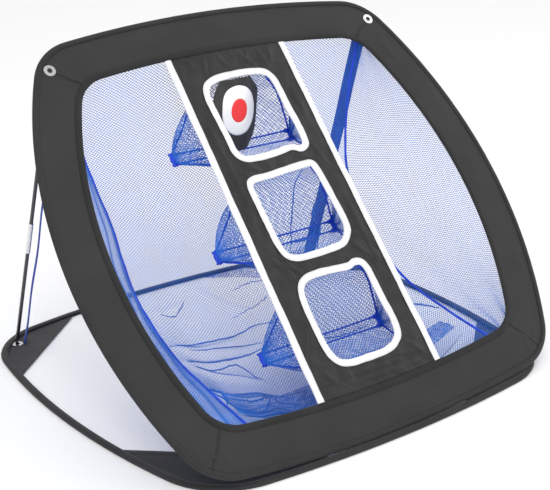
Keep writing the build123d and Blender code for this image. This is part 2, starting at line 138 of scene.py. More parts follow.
def hoop_sides(size, corner, depth, run=44, turn=12):
    """The four sides of a hoop's outline drawn in by a depth, each from mid corner to mid corner."""
    half_low, half_high, low, high, bow_low, bow_high, bow_side = size
    middle, bulge = (low + high) / 2, (half_low + half_high) / 2 + bow_side
    corners = np.array(
        (
            (-half_low, low + bow_low),
            (half_low, low + bow_low),
            (half_high, high - bow_high),
            (-half_high, high - bow_high),
        )
    )
    peaks = np.array(((0, low), (bulge, middle), (0, high), (-bulge, middle)))
    arcs = [circle_through(corners[n], peaks[n], corners[(n + 1) % 4]) for n in range(4)]
    rounds = []
    for n in range(4):
        (c1, r1), (c2, r2) = arcs[n - 1], arcs[n]
        r1, r2 = r1 - corner, r2 - corner
        gap = np.linalg.norm(c2 - c1)
        way = (c2 - c1) / gap
        reach = (r1**2 - r2**2 + gap**2) / (2 * gap)
        rise = math.sqrt(r1**2 - reach**2)
        spots = [c1 + way * reach + side * rise * np.array((-way[1], way[0])) for side in (1, -1)]
        rounds.append(min(spots, key=lambda spot: np.linalg.norm(spot - corners[n])))
    sides = []
    for n in range(4):
        centre, radius = arcs[n]
        first, last = rounds[n], rounds[(n + 1) % 4]
        angles = [
            bearing(first - arcs[n - 1][0]),
            bearing(first - centre),
            bearing(last - centre),
            bearing(last - arcs[(n + 1) % 4][0]),
        ]
        angles = np.unwrap(angles)
        points = []
        for spot, reach, start, stop, count in (
            (first, corner - depth, (angles[0] + angles[1]) / 2, angles[1], turn),
            (centre, radius - depth, angles[1], angles[2], run),
            (last, corner - depth, angles[2], (angles[2] + angles[3]) / 2, turn),
        ):
            turns = np.linspace(start, stop, count, endpoint=False)
            points.append(spot + reach * np.stack((np.cos(turns), np.sin(turns)), 1))
        closing = (angles[2] + angles[3]) / 2
        points.append((last + (corner - depth) * np.array((math.cos(closing), math.sin(closing))))[None])
        sides.append(np.vstack(points))
    return sides


def hoop_ring(size, corner, depth, run=44, turn=12):
    return np.vstack([side[:-1] for side in hoop_sides(size, corner, depth, run, turn)])


def window_sides(depth, **steps):
    return hoop_sides(FRONT_HOOP, WINDOW_CORNER + BAND, depth, **steps)


# ---------------------------------------------------------------- materials
def new_material(name):
    material = bpy.data.materials.new(name)
    material.use_nodes = True
    nodes, links = material.node_tree.nodes, material.node_tree.links
    shader = nodes["Principled BSDF"]
    place = nodes.new("ShaderNodeTexCoord")
    return material, nodes, links, shader, place


def mottled(nodes, links, place, dark, light, scale, detail=4.0):
    """A colour that drifts between two tones."""
    drift = nodes.new("ShaderNodeTexNoise")
    drift.inputs["Scale"].default_value = scale
    drift.inputs["Detail"].default_value = detail
    links.new(place.outputs["Object"], drift.inputs["Vector"])
    ramp = nodes.new("ShaderNodeValToRGB")
    ramp.color_ramp.elements[0].position = 0.35
    ramp.color_ramp.elements[0].color = (*dark, 1)
    ramp.color_ramp.elements[1].position = 0.65
    ramp.color_ramp.elements[1].color = (*light, 1)
    links.new(drift.outputs["Fac"], ramp.inputs["Fac"])
    return ramp.outputs["Color"]


def sums(nodes, links, kind, first, second=None):
    """One arithmetic step between sockets and plain numbers."""
    step = nodes.new("ShaderNodeMath")
    step.operation = kind
    for n, value in enumerate((first, second)):
        if isinstance(value, (int, float)):
            step.inputs[n].default_value = value
        elif value is not None:
            links.new(value, step.inputs[n])
    return step.outputs[0]


def stitch_rows(nodes, links, place, rows, pitch=0.0027, thick=0.00035):
    """Where sewing thread lies: dashes along the cloth at these distances across it."""
    split = nodes.new("ShaderNodeSeparateXYZ")
    links.new(place.outputs["UV"], split.inputs[0])
    beat = sums(nodes, links, "FRACT", sums(nodes, links, "DIVIDE", split.outputs["X"], pitch))
    dash = sums(nodes, links, "LESS_THAN", beat, 0.72)
    total = None
    for row in rows:
        away = sums(nodes, links, "ABSOLUTE", sums(nodes, links, "SUBTRACT", split.outputs["Y"], row))
        line = sums(nodes, links, "LESS_THAN", away, thick)
        total = line if total is None else sums(nodes, links, "MAXIMUM", total, line)
    return sums(nodes, links, "MULTIPLY", total, dash), total


BLACK_THREAD = (0.012, 0.012, 0.013)


def woven(name, dark, light, rough, weave=900.0, crease=0.35, rows=(), thread=BLACK_THREAD):
    """Plain-weave cloth with soft creases, and rows of sewing where they are asked for."""
    material, nodes, links, shader, place = new_material(name)
    colour = mottled(nodes, links, place, dark, light, 18.0)
    shader.inputs["Roughness"].default_value = rough
    shader.inputs["Specular IOR Level"].default_value = 0.28
    shader.inputs["Sheen Weight"].default_value = 0.1
    shader.inputs["Sheen Roughness"].default_value = 0.5
    creases = nodes.new("ShaderNodeTexNoise")
    creases.inputs["Scale"].default_value = 26.0
    creases.inputs["Detail"].default_value = 3.0
    creases.inputs["Distortion"].default_value = 1.2
    links.new(place.outputs["Object"], creases.inputs["Vector"])
    threads = nodes.new("ShaderNodeTexChecker")
    threads.inputs["Scale"].default_value = weave
    links.new(place.outputs["Object"], threads.inputs["Vector"])
    fold = nodes.new("ShaderNodeBump")
    fold.inputs["Strength"].default_value = crease
    fold.inputs["Distance"].default_value = 0.004
    links.new(creases.outputs["Fac"], fold.inputs["Height"])
    grain = nodes.new("ShaderNodeBump")
    grain.inputs["Strength"].default_value = 0.12
    grain.inputs["Distance"].default_value = 0.0003
    links.new(threads.outputs["Fac"], grain.inputs["Height"])
    links.new(fold.outputs["Normal"], grain.inputs["Normal"])
    last = grain
    if rows:
        dashes, groove = stitch_rows(nodes, links, place, rows)
        mix = nodes.new("ShaderNodeMixRGB")
        mix.inputs["Color2"].default_value = (*thread, 1)
        links.new(dashes, mix.inputs["Fac"])
        links.new(colour, mix.inputs["Color1"])
        colour = mix.outputs["Color"]
        last = nodes.new("ShaderNodeBump")
        last.inputs["Strength"].default_value = 0.6
        last.inputs["Distance"].default_value = 0.0006
        last.invert = True
        links.new(groove, last.inputs["Height"])
        links.new(grain.outputs["Normal"], last.inputs["Normal"])
    links.new(colour, shader.inputs["Base Color"])
    links.new(last.outputs["Normal"], shader.inputs["Normal"])
    return material


def ribbed_webbing(name, dark, light):
    """Flat woven strap with ribs across it."""
    material, nodes, links, shader, place = new_material(name)
    links.new(mottled(nodes, links, place, dark, light, 60.0), shader.inputs["Base Color"])
    shader.inputs["Roughness"].default_value = 0.65
    ribs = nodes.new("ShaderNodeTexWave")
    ribs.bands_direction = "X"
    ribs.inputs["Scale"].default_value = 160.0
    links.new(place.outputs["UV"], ribs.inputs["Vector"])
    raised = nodes.new("ShaderNodeBump")
    raised.inputs["Strength"].default_value = 0.5
    raised.inputs["Distance"].default_value = 0.0004
    links.new(ribs.outputs["Fac"], raised.inputs["Height"])
    links.new(raised.outputs["Normal"], shader.inputs["Normal"])
    return material


def metal(name, colour, rough):
    material, nodes, links, shader, place = new_material(name)
    duller = [0.85 * c for c in colour]
    links.new(mottled(nodes, links, place, duller, colour, 300.0), shader.inputs["Base Color"])
    shader.inputs["Metallic"].default_value = 1.0
    shader.inputs["Roughness"].default_value = rough
    return material


def enamel(name, colour, rough):
    """Smooth dark coating on a rod."""
    material, nodes, links, shader, place = new_material(name)
    duller = [0.8 * c for c in colour]
    links.new(mottled(nodes, links, place, duller, colour, 90.0), shader.inputs["Base Color"])
    shader.inputs["Roughness"].default_value = rough
    shader.inputs["Coat Weight"].default_value = 0.6
    shader.inputs["Coat Roughness"].default_value = 0.12
    return material


def twisted_thread(name, dark, light, rough=0.5):
    """Synthetic thread: two close blues and a fine twist."""
    material, nodes, links, shader, place = new_material(name)
    links.new(mottled(nodes, links, place, dark, light, 35.0), shader.inputs["Base Color"])
    shader.inputs["Roughness"].default_value = rough
    twist = nodes.new("ShaderNodeTexNoise")
    twist.inputs["Scale"].default_value = 1800.0
    links.new(place.outputs["Object"], twist.inputs["Vector"])
    raised = nodes.new("ShaderNodeBump")
    raised.inputs["Strength"].default_value = 0.25
    raised.inputs["Distance"].default_value = 0.0002
    links.new(twist.outputs["Fac"], raised.inputs["Height"])
    links.new(raised.outputs["Normal"], shader.inputs["Normal"])
    return material


BAND_CLOTH = woven("black polyester band", (0.024, 0.024, 0.025), (0.029, 0.029, 0.030), 0.78, crease=0.14)
OUTER_HEM_TAPE = woven(
    "black hem tape", (0.019, 0.019, 0.020), (0.026, 0.026, 0.027), 0.75, 700.0, 0.2, rows=(0.0018, 0.0178)
)
INNER_HEM_TAPE = woven(
    "black window hem", (0.013, 0.013, 0.014), (0.019, 0.019, 0.020), 0.75, 700.0, 0.2,
    rows=(0.0016, 0.0172),
)
BASE_TAPE = woven(
    "black base sleeve", (0.018, 0.018, 0.019), (0.025, 0.025, 0.026), 0.72, 700.0, 0.2,
    rows=(0.002, 0.0235),
)
PATCH_CLOTH = woven(
    "black corner patch", (0.023, 0.023, 0.024), (0.030, 0.030, 0.031), 0.65, crease=0.3, rows=(0.0068,)
)
SEAM_CLOTH = woven("black seam fold", (0.017, 0.017, 0.018), (0.023, 0.023, 0.024), 0.75, rows=(0.001, 0.003))
WHITE_TAPE = woven(
    "white binding tape", (0.774, 0.774, 0.783), (0.837, 0.837, 0.846), 0.7, 800.0, 0.3,
    rows=(0.0014,), thread=(0.7, 0.7, 0.72),
)
WEBBING = ribbed_webbing("blue strap webbing", (0.006, 0.034, 0.280), (0.010, 0.052, 0.390))
TARGET_CLOTH = woven("black target cloth", (0.026, 0.026, 0.027), (0.036, 0.036, 0.037), 0.5, crease=0.2)
DISC_WHITE = woven("white disc cloth", (0.88, 0.88, 0.88), (0.93, 0.93, 0.93), 0.6, 900.0, 0.1)
DISC_RED = woven("red bullseye cloth", (0.86, 0.030, 0.030), (0.92, 0.045, 0.045), 0.5, 900.0, 0.1)
NET_THREAD = twisted_thread("blue net thread", (0.009, 0.120, 0.54), (0.018, 0.175, 0.69))
PIPING = twisted_thread("blue piping", (0.006, 0.050, 0.56), (0.012, 0.075, 0.72), 0.6)
ROD_BLACK = enamel("black rod", (0.018, 0.018, 0.019), 0.3)
BRIGHT = metal("bright ferrule", (0.80, 0.80, 0.81), 0.22)
ROD_TIP = metal("dark rod tip", (0.10, 0.10, 0.105), 0.35)
NICKEL = metal("nickel eyelet", (0.62, 0.62, 0.63), 0.2)
WIRE = metal("spring wire", (0.4, 0.4, 0.42), 0.4)

for name in frame["nodes"]:
    if name.endswith("wire"):
        finish = WIRE
    elif "eyelet" in name:
        finish = NICKEL
    elif name.endswith(("upper", "lower")):
        finish = ROD_BLACK
    elif name.endswith("ferrule"):
        finish = BRIGHT
    elif name.startswith("rod"):
        finish = ROD_TIP
    else:
        continue
    for slot in bpy.data.objects[name].material_slots:
        slot.material = finish


# ---------------------------------------------------------------- making cloth
def finished(name, points, faces, finish, uv=None, smooth=True):
    mesh = bpy.data.meshes.new(name)
    mesh.from_pydata(np.asarray(points).tolist(), [], [list(map(int, face)) for face in faces])
    mesh.materials.append(finish)
    mesh.polygons.foreach_set("use_smooth", [smooth] * len(mesh.polygons))
    if uv is not None:
        layer = mesh.uv_layers.new(name="lay")
        layer.data.foreach_set("uv", np.asarray(uv, np.float32).ravel())
    piece = bpy.data.objects.new(name, mesh)
    bpy.context.collection.objects.link(piece)
    return piece


def add_thickness(piece, thick):
    bpy.ops.object.select_all(action="DESELECT")
    bpy.context.view_layer.objects.active = piece
    piece.select_set(True)
    wall = piece.modifiers.new("thickness", "SOLIDIFY")
    wall.thickness = thick
    wall.offset = 0.0
    bpy.ops.object.modifier_apply(modifier=wall.name)
    return piece


def cloth(name, grid, finish, thick=0.0006, closed=False, keep=None):
    """Cloth over a grid of points, rows across it and columns along it, with its own measure in metres."""
    rows, columns = grid.shape[:2]
    around = columns if closed else columns - 1
    i, j = np.meshgrid(np.arange(rows - 1), np.arange(around), indexing="ij")
    k = (j + 1) % columns
    faces = np.stack((i * columns + j, i * columns + k, (i + 1) * columns + k, (i + 1) * columns + j), -1)
    ring = np.concatenate((grid, grid[:, :1]), 1) if closed else grid
    along = np.concatenate(([0], np.cumsum(np.linalg.norm(np.diff(ring, axis=1), axis=2).mean(0))))
    across = np.concatenate(([0], np.cumsum(np.linalg.norm(np.diff(grid, axis=0), axis=2).mean(1))))
    uv = np.stack(
        [np.stack((along[j + a], across[i + b]), -1) for a, b in ((0, 0), (1, 0), (1, 1), (0, 1))], -2
    )
    if keep is not None:
        faces, uv = faces[keep], uv[keep]
    faces, uv = faces.reshape(-1, 4), uv.reshape(-1, 4, 2)
    points = grid.reshape(-1, 3)
    used = np.unique(faces)
    order = np.full(len(points), -1)
    order[used] = np.arange(len(used))
    return add_thickness(finished(name, points[used], order[faces], finish, uv), thick)


def dress(piece, body, slot, *nodes):
    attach(piece, body)
    if nodes:
        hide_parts(*nodes)
    return piece


def ease(value):
    value = np.clip(value, 0, 1)
    return value * value * (3 - 2 * value)


def crease(place, start, end, width, height):
    """How far cloth stands up along a soft fold between two spots; place holds points in the same plane."""
    start, end = np.array(start, float), np.array(end, float)
    way = end - start
    t = np.clip(((place - start) @ way) / (way @ way), 0, 1)
    away = np.linalg.norm(place - (start + t[..., None] * way), axis=-1)
    return height * np.exp(-((away / width) ** 2)) * (0.35 + 0.65 * np.sin(np.pi * np.clip(t, 0.02, 0.98)))


def creases(place, folds):
    return sum(crease(place, *fold) for fold in folds)


def ripple(count, waves, seed):
    """A repeatable gentle unevenness along an edge, between -1 and 1."""
    turn = np.linspace(0, 2 * np.pi, count, endpoint=False)
    spread = np.random.default_rng(seed)
    total = np.zeros(count)
    for wave in waves:
        total += np.sin(wave * turn + spread.uniform(0, 2 * np.pi)) * spread.uniform(0.5, 1.0)
    return total / len(waves)


def swept(place, profile, ring_at, bumps):
    """A tape's grid: its profile as (depth from the outline, height), placed on rings of the outline."""
    rows = []
    for depth, height in profile:
        ring = ring_at(depth)
        rows.append(place(ring[:, 0], ring[:, 1], height * bumps))
    return np.stack(rows)


# ---------------------------------------------------------------- the two hoops' sleeves and the window hem
TUBE_HEM = [
    (0.0074, 0.0011), (0.0066, 0.0019), (0.0036, 0.0023), (0.0011, 0.0016), (0.0003, 0.0),
    (0.0011, -0.0016), (0.0036, -0.0023), (0.0066, -0.0019), (0.0074, -0.0011),
]
STEPS = {"run": 90, "turn": 26}
around = len(hoop_ring(FRONT_HOOP, FRONT_CORNER, 0, **STEPS))
pucker = 1 + 0.10 * ripple(around, (61, 97, 143), 3)
grid = swept(on_panel, TUBE_HEM, lambda depth: hoop_ring(FRONT_HOOP, FRONT_CORNER, depth, **STEPS), pucker)
hem = cloth("outer_hem_tape", grid, OUTER_HEM_TAPE, 0.0005, closed=True)
dress(hem, "front_panel", "black_cloth_edge", "front_hem_sleeve")

SLEEVE_MIDDLE = 0.0025  # middle of the base sleeve above the ground
SLEEVE_LOWEST = 0.0003
BASE_TUBE = [
    (0.0101, 0.0012), (0.0090, 0.0020), (0.0048, 0.0025), (0.0012, 0.0018), (0.0003, 0.0),
    (0.0012, -0.0017), (0.0048, -0.0022), (0.0090, -0.0019), (0.0101, -0.0010),
]
around = len(hoop_ring(BASE_HOOP, BASE_CORNER, 0, **STEPS))
pucker = 1 + 0.06 * ripple(around, (53, 89, 131), 5)
grid = swept(
    lambda x, y, up: on_ground(x, y, np.maximum(SLEEVE_MIDDLE + up, SLEEVE_LOWEST)),
    BASE_TUBE,
    lambda depth: hoop_ring(BASE_HOOP, BASE_CORNER, depth, **STEPS),
    pucker,
)
sleeve = cloth("base_sleeve_cloth", grid, BASE_TAPE, 0.0005, closed=True)
dress(sleeve, "base", "black_cloth_edge", "base_hoop_sleeve")

WINDOW_HEM = [
    (0.0517, 0.0008), (0.0521, 0.0012), (0.0560, 0.0015), (0.0594, 0.0011), (0.0600, 0.0),
    (0.0594, -0.0011), (0.0560, -0.0014), (0.0521, -0.0011),
]
corner = WINDOW_CORNER + BAND
around = len(hoop_ring(FRONT_HOOP, corner, BAND, **STEPS))
pucker = 1 + 0.14 * ripple(around, (47, 83, 120), 7)
grid = swept(on_panel, WINDOW_HEM, lambda depth: hoop_ring(FRONT_HOOP, corner, depth, **STEPS), pucker)
window_hem = cloth("window_hem_tape", grid, INNER_HEM_TAPE, 0.0004, closed=True)
dress(window_hem, "front_panel", "black_cloth_edge", "front_inner_hem")

# ---------------------------------------------------------------- the four mitred bands of the panel
BAND_FOLDS = [
    # drawn cloth beside the lower left mitre
    ((-0.268, 0.062), (-0.252, 0.036), 0.0035, 0.0012),
    ((-0.262, 0.063), (-0.246, 0.038), 0.0030, -0.0009),
    ((-0.252, 0.062), (-0.244, 0.034), 0.0030, 0.0013),
    ((-0.238, 0.052), (-0.229, 0.026), 0.0035, 0.0009),
    # and beside the lower right one
    ((0.262, 0.060), (0.246, 0.036), 0.0035, 0.0009),
    ((0.243, 0.056), (0.236, 0.028), 0.0035, 0.0010),
    # slack in the upper left and right sides
    ((-0.308, 0.472), (-0.292, 0.448), 0.0060, 0.0014),
    ((-0.300, 0.430), (-0.288, 0.380), 0.0080, 0.0009),
    ((-0.262, 0.520), (-0.236, 0.500), 0.0050, 0.0010),
    ((0.252, 0.506), (0.262, 0.470), 0.0060, 0.0012),
    ((0.292, 0.440), (0.300, 0.380), 0.0080, 0.0008),
    ((0.300, 0.180), (0.286, 0.120), 0.0070, 0.0009),
    ((-0.304, 0.200), (-0.292, 0.140), 0.0080, 0.0010),
    ((-0.120, 0.575), (0.020, 0.572), 0.0090, 0.0007),
    ((0.060, 0.026), (-0.100, 0.024), 0.0090, 0.0008),
]
outer = hoop_sides(FRONT_HOOP, FRONT_CORNER, HEM + 0.0002, run=70, turn=20)
inner = window_sides(BAND - 0.0078, run=70, turn=20)
for word, far, near in zip(("bottom", "right", "top", "left"), outer, inner):
    t = np.linspace(0, 1, 26)[:, None, None]
    flat = far * (1 - t) + near * t
    stand = creases(flat, BAND_FOLDS) + 0.0004 * np.sin(math.pi * t[..., 0])
    u, v = flat[..., 0], flat[..., 1]
    stand += 0.00022 * np.sin(u * 61 + v * 23) * np.sin(v * 47 - u * 17)
    edge = np.sin(math.pi * np.clip(t[..., 0], 0.001, 0.999)) ** 0.5
    band = cloth(f"band_cloth_{word}", on_panel(u, v, stand * edge), BAND_CLOTH, 0.0012)
    dress(band, "front_panel", "black_cloth", f"front_band_{word}")

# the mitres are lapped and sewn down
SEAM_ACROSS = ((-0.0021, 0.0004), (-0.0017, 0.0013), (0.0, 0.0016), (0.0017, 0.0013), (0.0021, 0.0004))
outer = hoop_sides(FRONT_HOOP, FRONT_CORNER, HEM + 0.0008)
inner = window_sides(BAND - 0.0086)
for word, n in (("low_left", 0), ("low_right", 1), ("top_right", 2), ("top_left", 3)):
    start, end = outer[n][0], inner[n][0]
    if word.startswith("top"):
        spot = np.array((math.copysign(EYELET_SPOT[0], start[0]), EYELET_SPOT[1]))
        start = spot + (end - spot) / np.linalg.norm(end - spot) * 0.0082
    t = np.linspace(0, 1, 24)[:, None]
    line = start * (1 - t) + end * t
    way = (end - start) / np.linalg.norm(end - start)
    line = line + np.array((-way[1], way[0])) * 0.0006 * np.sin(t * 9)
    rows = [
        on_panel(line[:, 0] - way[1] * aside, line[:, 1] + way[0] * aside, height)
        for aside, height in SEAM_ACROSS
    ]
    fold = cloth(f"mitre_fold_{word}", np.stack(rows), SEAM_CLOTH, 0.0004)
    dress(fold, "front_panel", "black_cloth_edge")
    if n == 0:
        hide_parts("front_corner_seams")

# ---------------------------------------------------------------- corner patches of the base
FRONT_PATCH = ((0.310, 0.187), (0.107, 0.004))
BACK_PATCH = ((0.300, 0.417), (0.156, 0.549))
PATCH_COLUMNS = 70
ring = hoop_ring(BASE_HOOP, BASE_CORNER, BASE_HEM - 0.0006, run=160, turn=50)
for end_word, run, up in (("front", FRONT_PATCH, 0.0009), ("back", BACK_PATCH, 0.0016)):
    for word, side in SIDES.items():
        a, b = [np.array((side * x, y + HINGE[1])) for x, y in run]
        length = np.linalg.norm(b - a)
        way = (b - a) / length
        square = np.array((-way[1], way[0]))
        if square @ a < 0:
            square = -square
        along, out = (ring - a) @ way, (ring - a) @ square
        outside = out > -0.004
        order = np.argsort(along[outside])
        places = np.linspace(0, length, PATCH_COLUMNS)
        reach = np.interp(places, along[outside][order], out[outside][order])
        steps = np.concatenate((np.arange(0, 0.0075, 0.0011), np.arange(0.0085, reach.max() + 0.004, 0.0032)))
        deep = np.minimum(steps[:, None], np.maximum(reach, 0.0004))
        flat = a + places[None, :, None] * way + deep[..., None] * square
        hemmed = np.where(steps < 0.0072, 0.0005, 0.0)[:, None]
        free = np.sin(np.pi * np.clip(deep / np.maximum(reach, 0.001), 0, 1))
        sag = 0.0005 * np.sin(flat[..., 0] * 70 + flat[..., 1] * 31) * free
        grid = on_ground(flat[..., 0], flat[..., 1], up + hemmed + sag)
        full = (deep[:-1, :-1] < reach[None, :-1] - 1e-9) | (deep[:-1, 1:] < reach[None, 1:] - 1e-9)
        name = f"corner_patch_{end_word}_{word}"
        patch = cloth(name, grid, PATCH_CLOTH, 0.0005, keep=full)
        dress(patch, "base", "black_cloth", f"base_patch_{end_word}_{word}")
        wide, long = float(reach.max()), float(length)


# ---------------------------------------------------------------- centre strip with its three holes
def window_edge(u, n):
    """How far up the slope the window's edge lies at a distance across; side 0 is its bottom, 2 its top."""
    side = window_sides(BAND, run=120)[n]
    order = np.argsort(side[:, 0])
    return np.interp(u, side[order, 0], side[order, 1])


def inside(points, loop):
    """Whether points lie in a closed outline."""
    hits = np.zeros(points.shape[:-1], int)
    for (x0, y0), (x1, y1) in zip(loop, np.roll(loop, -1, 0)):
        if y0 == y1:
            continue
        crosses = (points[..., 1] < y0) != (points[..., 1] < y1)
        hits += crosses & (points[..., 0] < x0 + (points[..., 1] - y0) / (y1 - y0) * (x1 - x0))
    return hits % 2 == 1


# each hole's binding, as sewn: no two are quite alike and their corners are drawn in a little
HOLE_LINES = {
    "top": (
        (0.0525, 0.0), (0.0520, 0.028), (0.0500, 0.045), (0.0405, 0.0560), (0.016, 0.0600), (-0.012, 0.0598),
        (-0.034, 0.0575), (-0.0500, 0.0500), (-0.0565, 0.0340), (-0.0560, 0.006), (-0.0545, -0.024),
        (-0.0535, -0.046), (-0.0440, -0.0575), (-0.022, -0.0600), (0.006, -0.0585), (0.024, -0.0560),
        (0.0330, -0.0570), (0.0400, -0.0605), (0.0470, -0.0595), (0.0535, -0.0520), (0.0545, -0.026),
    ),
    "middle": (
        (0.0545, 0.0), (0.0530, 0.028), (0.0510, 0.048), (0.0470, 0.0585), (0.0360, 0.0595), (0.010, 0.0580),
        (-0.022, 0.0555), (-0.0470, 0.0545), (-0.0545, 0.0470), (-0.0550, 0.024), (-0.0545, -0.006),
        (-0.0535, -0.034), (-0.0480, -0.0510), (-0.0340, -0.0580), (-0.010, -0.0590), (0.018, -0.0580),
        (0.0370, -0.0555), (0.0480, -0.0470), (0.0545, -0.036), (0.0555, -0.018),
    ),
    "bottom": (
        (0.0560, 0.0), (0.0555, 0.028), (0.0550, 0.046), (0.0500, 0.0565), (0.0400, 0.0590), (0.0290, 0.0560),
        (0.006, 0.0575), (-0.018, 0.0585), (-0.0380, 0.0560), (-0.0500, 0.0460), (-0.0545, 0.026),
        (-0.0550, -0.004), (-0.0535, -0.034), (-0.0460, -0.0520), (-0.0300, -0.0590), (-0.004, -0.0600),
        (0.022, -0.0600), (0.0370, -0.0570), (0.0450, -0.0530), (0.0540, -0.0440), (0.0575, -0.024),
    ),
}
EDGE_ROLL = (
    (-0.0045, 0.0009), (-0.0042, 0.0014), (0.0000, 0.0017), (0.0035, 0.0015), (0.0044, 0.0006),
    (0.0044, -0.0006), (0.0035, -0.0014), (0.0000, -0.0015), (-0.0042, -0.0012),
)


def taped(name, line, node, seed):
    """White tape folded over a hole's edge and sewn through; its fold lies on the left of its line."""
    count = len(line)
    ahead = np.roll(line, -1, 0) - np.roll(line, 1, 0)
    ahead /= np.linalg.norm(ahead, axis=1, keepdims=True)
    left = np.stack((-ahead[:, 1], ahead[:, 0]), 1)
    wider = 1 + 0.10 * ripple(count, (3, 7, 13, 22), seed)
    thicker = 1 + 0.16 * ripple(count, (17, 31, 43), seed + 1)
    rows = []
    for aside, height in EDGE_ROLL:
        beside = line + left * (aside * wider)[:, None]
        rows.append(on_panel(beside[:, 0], beside[:, 1], height * thicker))
    tape = cloth(name, np.stack(rows), WHITE_TAPE, 0.0004, closed=True)
    dress(tape, "front_panel", "white_tape", node)


hole_rims = {}
for n, (word, up) in enumerate(HOLES.items()):
    line, _ = smooth_run([(x, up + y) for x, y in HOLE_LINES[word]], 260, closed=True)
    hole_rims[word] = line
    taped(f"hole_tape_{word}", line, f"hole_binding_{word}", 20 + n)

TAPE_STEPS = 240
for n, (word, side) in enumerate(SIDES.items()):
    share = np.linspace(0, 1, TAPE_STEPS)
    wander = 0.0008 * ripple(2 * TAPE_STEPS, (3, 5, 9, 14), 40 + n)[:TAPE_STEPS]
    wider = 1 + 0.10 * ripple(2 * TAPE_STEPS, (6, 14, 26), 50 + n)[:TAPE_STEPS]
    thicker = 1 + 0.16 * ripple(2 * TAPE_STEPS, (31, 57, 85), 60 + n)[:TAPE_STEPS]
    rows = []
    for aside, height in EDGE_ROLL:
        u = side * (0.0922 * (1 - share) + 0.0882 * share + wander + aside * wider)
        low, high = window_edge(u[0], 0) + 0.0003, window_edge(u[-1], 2) - 0.0003
        rows.append(on_panel(u, low * (1 - share) + high * share, height * thicker))
    tape = cloth(f"strip_tape_{word}", np.stack(rows), WHITE_TAPE, 0.0004)
    dress(tape, "front_panel", "white_tape", f"strip_binding_{word}")

STRIP_FOLDS = [
    # drawn up under the top hem, on either side of its cross seam
    ((-0.060, 0.532), (-0.058, 0.516), 0.0022, 0.0012),
    ((-0.037, 0.530), (-0.045, 0.503), 0.0024, 0.0016),
    ((-0.018, 0.533), (-0.006, 0.512), 0.0026, 0.0012),
    ((0.010, 0.534), (0.034, 0.506), 0.0026, 0.0017),
    ((0.030, 0.532), (0.026, 0.518), 0.0022, 0.0010),
    ((0.046, 0.530), (0.052, 0.506), 0.0024, 0.0013),
    ((0.066, 0.530), (0.060, 0.510), 0.0024, 0.0012),
    ((-0.078, 0.505), (-0.068, 0.480), 0.0040, 0.0010),
    # between the holes
    ((-0.048, 0.374), (-0.030, 0.362), 0.0028, 0.0018),
    ((-0.064, 0.366), (-0.044, 0.356), 0.0030, 0.0010),
    ((0.030, 0.372), (0.060, 0.360), 0.0030, 0.0013),
    ((0.062, 0.380), (0.070, 0.352), 0.0030, 0.0011),
    ((-0.058, 0.236), (-0.041, 0.222), 0.0028, 0.0018),
    ((-0.070, 0.246), (-0.056, 0.222), 0.0030, 0.0012),
    ((0.020, 0.232), (0.046, 0.236), 0.0028, 0.0014),
    ((0.050, 0.240), (0.068, 0.218), 0.0030, 0.0016),
    ((-0.010, 0.226), (0.030, 0.227), 0.0026, 0.0010),
    # long creases beside the holes
    ((-0.074, 0.440), (-0.068, 0.330), 0.0040, 0.0010),
    ((0.072, 0.330), (0.076, 0.200), 0.0040, 0.0010),
    ((0.070, 0.480), (0.074, 0.400), 0.0040, 0.0009),
    # wrinkles across the foot of the strip
    ((-0.060, 0.084), (0.040, 0.080), 0.0026, 0.0016),
    ((-0.046, 0.072), (0.066, 0.070), 0.0026, 0.0018),
    ((-0.078, 0.067), (-0.010, 0.065), 0.0026, 0.0014),
    ((0.010, 0.088), (0.082, 0.084), 0.0026, 0.0014),
    ((-0.040, 0.091), (0.020, 0.089), 0.0022, 0.0010),
    ((0.062, 0.098), (0.080, 0.076), 0.0030, 0.0014),
    ((-0.074, 0.098), (-0.060, 0.078), 0.0030, 0.0013),
]
columns, rows = 92, 230
spread = np.linspace(-1, 1, columns)
share = np.linspace(0, 1, rows)[:, None]
half = 0.0905 * (1 - share) + 0.0865 * share
u = spread[None] * half
low, high = window_edge(u[0], 0)[None] + 0.0002, window_edge(u[-1], 2)[None] - 0.0002
v = low * (1 - share) + high * share
flat = np.stack((u, v), -1)
stand = creases(flat, STRIP_FOLDS)
stand += 0.0005 * np.sin(u * 140 + v * 60) * np.sin(v * 170 - u * 90)
SEW_LOW, SEW_HIGH = 0.0155, 0.4525
for height in (SEW_LOW, SEW_HIGH):
    stand -= 0.0007 * np.exp(-(((v - low - height) / 0.0011) ** 2))
stand *= np.clip(np.minimum(share, 1 - share) * 40, 0, 1)
middles = (flat[1:, 1:] + flat[:-1, :-1]) / 2
open_cells = np.zeros(middles.shape[:2], bool)
for line in hole_rims.values():
    open_cells |= inside(middles, line)
STRIP_SEWN = woven(
    "crinkled black strip, sewn across", (0.013, 0.013, 0.014), (0.021, 0.021, 0.022), 0.44, crease=0.85,
    rows=(SEW_LOW, SEW_HIGH),
)
strip = cloth("strip_cloth", on_panel(u, v, stand), STRIP_SEWN, 0.0006, keep=~open_cells)
dress(strip, "front_panel", "black_cloth", "centre_strip")

# ---------------------------------------------------------------- netting
THREAD = 0.00031  # half the width of a net thread
MESH = 0.0023  # half a diamond of the net


